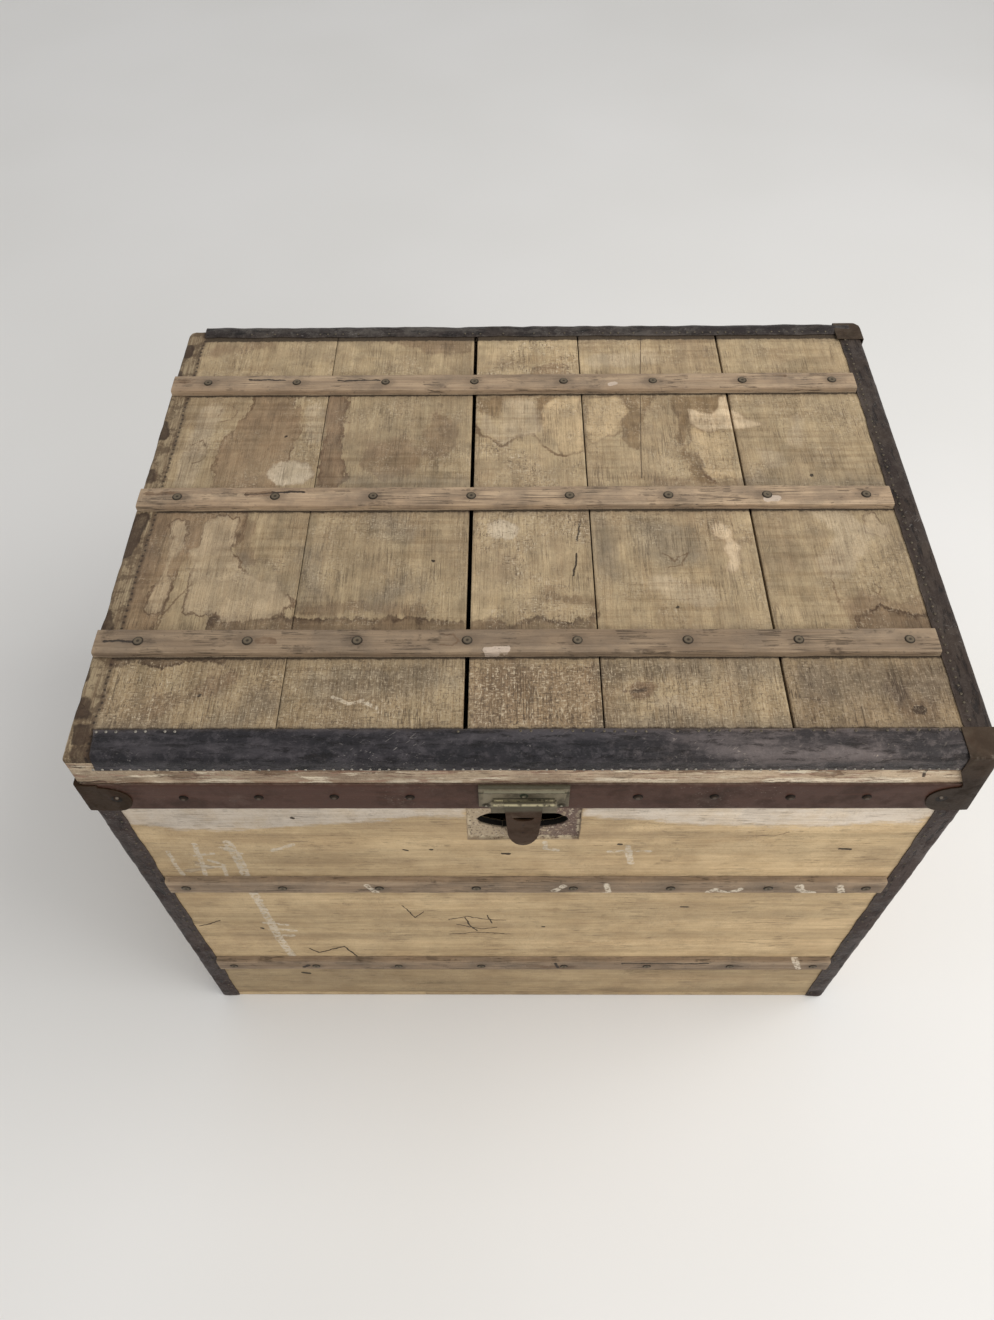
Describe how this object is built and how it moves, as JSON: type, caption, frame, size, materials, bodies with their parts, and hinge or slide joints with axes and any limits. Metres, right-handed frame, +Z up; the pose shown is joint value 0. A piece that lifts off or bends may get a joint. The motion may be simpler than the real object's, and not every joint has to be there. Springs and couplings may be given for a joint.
{
  "type": "travel trunk",
  "caption": "Flat-topped wooden travel trunk with slats, nailed bindings, a riveted band round its lifting lid, a front hasp over an empty lock hole, and drop handles.",
  "frame": {"origin": "on the floor, under the middle of the trunk", "axes": "+Z up, the front with the hasp faces -Y, +X along the trunk to its right end as seen from the front"},
  "size_m": [0.8254, 0.6232, 0.6184],
  "materials": {
    "lid_poplar": "weathered bare poplar with old glue and water stains",
    "case_poplar": "bare yellow-beige poplar, grain along the trunk",
    "slat_wood": "grey-brown weathered hardwood",
    "black_binding": "scuffed black vulcanised fibre",
    "brown_binding": "scuffed dark brown vulcanised fibre",
    "red_brown_band": "brown-red vulcanised fibre",
    "dark_iron": "dark olive-brown aged iron",
    "old_brass": "dull dark olive brass"
  },
  "bodies": {
    "case": {"back_board_lower": "case_poplar", "back_board_upper": "case_poplar", "back_slat_lower": "slat_wood", "back_slat_upper": "slat_wood", "bottom_plank_left": "case_poplar", "bottom_plank_middle": "case_poplar", "bottom_plank_right": "case_poplar", "corner_binding_back_left": "brown_binding", "corner_binding_back_right": "brown_binding", "corner_binding_front_left": "brown_binding", "corner_binding_front_right": "brown_binding", "front_board_lower": "case_poplar", "front_board_middle": "case_poplar", "front_board_upper": "case_poplar", "front_slat_lower": "slat_wood", "front_slat_upper": "slat_wood", "handle_plate_left": "dark_iron", "handle_plate_right": "dark_iron", "hinge_leaf_lower_left": "dark_iron", "hinge_leaf_lower_right": "dark_iron", "hinge_pin_left": "dark_iron", "hinge_pin_right": "dark_iron", "inner_rim_front": "case_poplar", "inner_rim_left": "case_poplar", "inner_rim_right": "case_poplar", "left_board_lower": "case_poplar", "left_board_upper": "case_poplar", "left_slat_lower": "slat_wood", "left_slat_upper": "slat_wood", "right_board_lower": "case_poplar", "right_board_upper": "case_poplar", "right_slat_lower": "slat_wood", "right_slat_upper": "slat_wood"},
    "lid": {"corner_cap_back_left": "dark_iron", "corner_cap_back_right": "dark_iron", "corner_cap_front_left": "dark_iron", "corner_cap_front_right": "dark_iron", "hasp_pin": "old_brass", "hasp_plate": "old_brass", "hinge_leaf_upper_left": "dark_iron", "hinge_leaf_upper_right": "dark_iron", "lid_band": "red_brown_band", "lid_binding_back": "black_binding", "lid_binding_front": "black_binding", "lid_binding_right": "brown_binding", "lid_plank_left": "lid_poplar", "lid_plank_mid_left": "lid_poplar", "lid_plank_mid_right": "lid_poplar", "lid_plank_middle": "lid_poplar", "lid_plank_right": "lid_poplar", "lid_rim_back": "lid_poplar", "lid_rim_front": "lid_poplar", "lid_rim_left": "lid_poplar", "lid_rim_right": "lid_poplar", "lid_slat_back": "slat_wood", "lid_slat_front": "slat_wood", "lid_slat_middle": "slat_wood"},
    "hasp": {"hasp_tongue": "dark_iron"},
    "handle_left": {"handle_left": "dark_iron"},
    "handle_right": {"handle_right": "dark_iron"}
  },
  "joints": [
    {"name": "lid_hinge", "type": "hinge", "parent": "case", "child": "lid", "pos_m": [0, 0.3048, 0.522], "axis": [-1, 0, 0], "range_deg": [0, 100]},
    {"name": "hasp_swing", "type": "hinge", "parent": "lid", "child": "hasp", "pos_m": [-0.003, -0.3052, 0.541], "axis": [-1, 0, 0], "range_deg": [0, 120]},
    {"name": "handle_left_swing", "type": "hinge", "parent": "case", "child": "handle_left", "pos_m": [-0.4055, 0, 0.46235], "axis": [0, 1, 0], "range_deg": [0, 90]},
    {"name": "handle_right_swing", "type": "hinge", "parent": "case", "child": "handle_right", "pos_m": [0.4055, 0, 0.46235], "axis": [0, -1, 0], "range_deg": [0, 90]}
  ]
}
